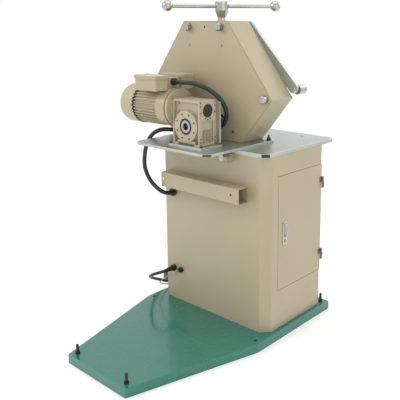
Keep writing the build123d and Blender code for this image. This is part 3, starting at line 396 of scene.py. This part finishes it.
# gearbox: screws on its end face, round the output cover and on the foot
MOTOR_Y, MOTOR_Z = 9, 1071          # motor and worm axis
OUTPUT_X, OUTPUT_Z = -5, 996        # gearbox output axis
COVER_SCREW_R = 58
gear_low, gear_high = low("gearbox_body"), high("gearbox_body")
edge_y = (gear_low[1] + 8, gear_high[1] - 8)
face_points = [(gear_high[0], y, z) for y in edge_y for z in (1109, 1092, 1062, 946, 930, 918)]
face_points += [(gear_high[0], MOTOR_Y + dy, 1034 + dz) for dy, dz in ((-14, 2), (0, -3), (14, 2))]
socket_screws("gearbox_end_screws", face_points, "x", 3.6, 1.6, "head")
cover_face = low("output_cover")[1]
ring_points = [(OUTPUT_X + COVER_SCREW_R * math.cos(math.radians(a)), cover_face + 1,
                OUTPUT_Z + COVER_SCREW_R * math.sin(math.radians(a)))
               for a in range(22, 382, 45)]
socket_screws("output_cover_screws", ring_points, "-y", 4.6, 1.8, "head")
foot_points = [(x, y, plate_top + 8) for x in (-103, 99) for y in (-52, 70)]
socket_screws("gearbox_foot_screws", foot_points, "z", 6.5, 5, "head")

# four cast bosses in the gearbox's sunk face
BOSS_PROFILE = [(0, 0), (8, 0), (7.2, 7), (6.6, 8), (3.4, 8), (3.0, 5), (0, 5)]
bm = bmesh.new()
for x, z in ((-70, 1098), (60, 1098), (-70, 1060), (60, 1060)):
    lathe(bm, (x, gear_low[1] + 16, z), "-y", BOSS_PROFILE, 32)
piece("casting_bosses", bm, MATERIALS["cast_beige"], "head", smooth=True)

# motor: flange bolts and box screws
FLANGE_X = -96
FLANGE_BOLT_R = 77
bolt_points = [(FLANGE_X, MOTOR_Y + FLANGE_BOLT_R * math.cos(math.radians(a)),
                MOTOR_Z + FLANGE_BOLT_R * math.sin(math.radians(a))) for a in (45, 135, 225, 315)]
socket_screws("flange_bolts", bolt_points, "x", 6.5, 7, "head", MATERIALS["bright_steel"])
lid_low, lid_high = low("box_lids"), high("box_lids")
lid_points = []
for y_pair in ((lid_low[1] + 9, lid_low[1] + 77), (lid_high[1] - 77, lid_high[1] - 9)):
    lid_points += [(x, y, lid_high[2]) for y in y_pair for x in (lid_low[0] + 9, lid_high[0] - 9)]
socket_screws("lid_screws", lid_points, "z", 4, 1.6, "head", MATERIALS["cast_beige"])


def slabs(name, boxes, material, body, bevel=0.4):
    """Small boxes with broken edges, from (centre, half size) pairs in mm and an optional turn about X."""
    bm = bmesh.new()
    for centre, half, turn in boxes:
        matrix = Matrix.Translation(Vector(centre) * MIL) @ Matrix.Rotation(turn, 4, "X")
        made = bmesh.ops.create_cube(bm, size=2, matrix=matrix @ Matrix.Diagonal((*[h * MIL for h in half], 1)))
        edges = {edge for vert in made["verts"] for edge in vert.link_edges}
        bmesh.ops.bevel(bm, geom=list(edges), offset=bevel * MIL, segments=2, affect="EDGES")
    return piece(name, bm, material, body)


def dark(name, colour=(0.012, 0.011, 0.010)):
    """Painted shade: a near-black material that stands in for the shade inside a deep recess."""
    return polymer(name, colour, 0.7, 300)


# near-black painted shade for the fan cover slots and the key slot
RECESS_SHADE = dark("recess_painted_shade")

# air slots between the fan cover and the fins, drawn as dark slabs of painted shade
SLOT_COUNT = 34
SLOT_R = 94.2
fan_seam = high("fan_cover")[0]
fan_slot_shades = []
for step in range(SLOT_COUNT):
    angle = 2 * math.pi * step / SLOT_COUNT
    centre = (fan_seam - 2, MOTOR_Y + SLOT_R * math.cos(angle), MOTOR_Z + SLOT_R * math.sin(angle))
    fan_slot_shades.append((centre, (4.5, 1.4, 4.6), angle))
slabs("fan_cover_slot_shade", fan_slot_shades, RECESS_SHADE, "head")

# door: pull, lock barrel and key slot
KEY_Z = 463
lock_low, lock_high = low("lock_plate"), high("lock_plate")
lock_y = (lock_low[1] + lock_high[1]) / 2
pull = bmesh.new()
bmesh.ops.create_cube(pull, size=2, matrix=Matrix.Translation(Vector((lock_high[0] + 0.5, lock_y, 516)) * MIL)
                      @ Matrix.Diagonal((1.5 * MIL, 11 * MIL, 34 * MIL, 1)))
bmesh.ops.bevel(pull, geom=pull.edges[:], offset=1.4 * MIL, segments=4, affect="EDGES")
piece("lock_pull", pull, MATERIALS["grey_plastic"], "door", smooth=True)
bm = bmesh.new()
lathe(bm, (lock_high[0], lock_y, KEY_Z), "x", [(0, 0), (9, 0), (9, 2.2), (8.2, 3), (6.2, 3), (6, 2.4), (0, 2.4)])
piece("key_barrel", bm, MATERIALS["chrome"], "door", smooth=True)
# the key slot is a thin dark slab of painted shade
slabs("key_slot_shade", [((lock_high[0] + 2.6, lock_y, KEY_Z), (0.4, 1.0, 4.2), 0)], RECESS_SHADE, "door",
      0.1)

# gland nuts on the cabinet and the motor
hex_nuts("gland_nut_conduit", [(-250, 90, 616)], "-y", 36, 9, 13.5, "stand", CONDUIT_RUBBER)
hex_nuts("gland_nut_mains", [(-257, 90, 208)], "-y", 30, 8, 11, "stand", CONDUIT_RUBBER)
hex_nuts("gland_nut_pedal", [(-204, 90, 210)], "-y", 25, 8, 8, "stand", CONDUIT_RUBBER)
hex_nuts("gland_nut_motor", [(-135, 9, 1188)], "x", 31, 9, 10.8, "head", CONDUIT_RUBBER)

# painted reflection: dark strips on the cut corners of the two plates, where the cut steel faces reflect their
# dark surroundings
def painted_reflection_strip(name, corner, cut, z_span, body):
    """A thin dark strip on a plate's cut corner that faces +X and -Y, painted there as the dark reflection of
    that face.
    """
    middle = Vector((corner[0] - cut / 2, corner[1] + cut / 2, (z_span[0] + z_span[1]) / 2))
    outwards = Vector((1, -1, 0)).normalized()
    bm = bmesh.new()
    matrix = Matrix.Translation((middle + outwards * 0.1) * MIL) @ Matrix.Rotation(math.radians(-45), 4, "Z")
    size = (0.3 * MIL, cut / math.sqrt(2) * MIL, (z_span[1] - z_span[0] - 2.4) / 2 * MIL)
    bmesh.ops.create_cube(bm, size=2, matrix=matrix @ Matrix.Diagonal((*size, 1)))
    bmesh.ops.bevel(bm, geom=bm.edges[:], offset=0.12 * MIL, segments=2, affect="EDGES")
    piece(name, bm, MATERIALS["dark_steel"], body)


PLATE_CUT = 27
painted_reflection_strip("head_plate_corner_reflection", (high("head_plate")[0], low("head_plate")[1]), PLATE_CUT,
            (low("head_plate")[2], plate_top), "head")
painted_reflection_strip("table_corner_reflection", (high("table_plate")[0], low("table_plate")[1]), PLATE_CUT,
            (low("table_plate")[2], high("table_plate")[2]), "stand")
frame["nodes"]["housing_bolts"].data.materials[0] = MATERIALS["chrome"]
HINGE_STEEL = steel("hinge_steel", (0.20, 0.17, 0.105), 0.38, (1, 1, 0.2), metallic=0.8)
for node in ("door_hinges", "frame_hinges"):
    frame["nodes"][node].data.materials[0] = HINGE_STEEL

# ---------------------------------------------------------------- studio
FLOOR_SIZE = 60


def area_light(name, at, towards, size, power, colour=(1, 1, 1)):
    """A soft rectangular light."""
    data = bpy.data.lights.new(name, "AREA")
    data.shape = "RECTANGLE"
    data.size = size[0]
    data.size_y = size[1]
    data.energy = power
    data.color = colour
    lamp = bpy.data.objects.new(name, data)
    lamp.location = at
    lamp.rotation_euler = (Vector(towards) - Vector(at)).to_track_quat("-Z", "Y").to_euler()
    bpy.context.scene.collection.objects.link(lamp)


area_light("key", (-2.6, -3.0, 3.4), (0, 0, 0.9), (2.4, 2.4), 55)
area_light("fill", (3.6, -1.2, 2.0), (0, 0, 0.8), (2.6, 2.6), 12)
area_light("top", (0.2, 0.3, 4.2), (0, 0, 0.8), (3.0, 3.0), 30)
area_light("back", (0.5, 3.6, 2.6), (0, 0, 0.9), (3.0, 2.2), 30)

world = bpy.data.worlds.new("studio")
world.use_nodes = True
world.node_tree.nodes["Background"].inputs["Color"].default_value = (1, 1, 1, 1)
world.node_tree.nodes["Background"].inputs["Strength"].default_value = 1.0
bpy.context.scene.world = world

floor_mesh = bpy.data.meshes.new("floor")
half = FLOOR_SIZE / 2
floor_corners = [(-half, -half, 0), (half, -half, 0), (half, half, 0), (-half, half, 0)]
floor_mesh.from_pydata(floor_corners, [], [(0, 1, 2, 3)])
floor = bpy.data.objects.new("floor", floor_mesh)
bpy.context.scene.collection.objects.link(floor)
floor_material, _, floor_shader = new_material("floor_white")
floor_shader.inputs["Base Color"].default_value = (0.93, 0.93, 0.93, 1)
floor_shader.inputs["Roughness"].default_value = 0.8
floor_shader.inputs["Emission Color"].default_value = (1, 1, 1, 1)
floor_shader.inputs["Emission Strength"].default_value = 0.06
floor_mesh.materials.append(floor_material)
bpy.context.scene.view_settings.view_transform = "Standard"
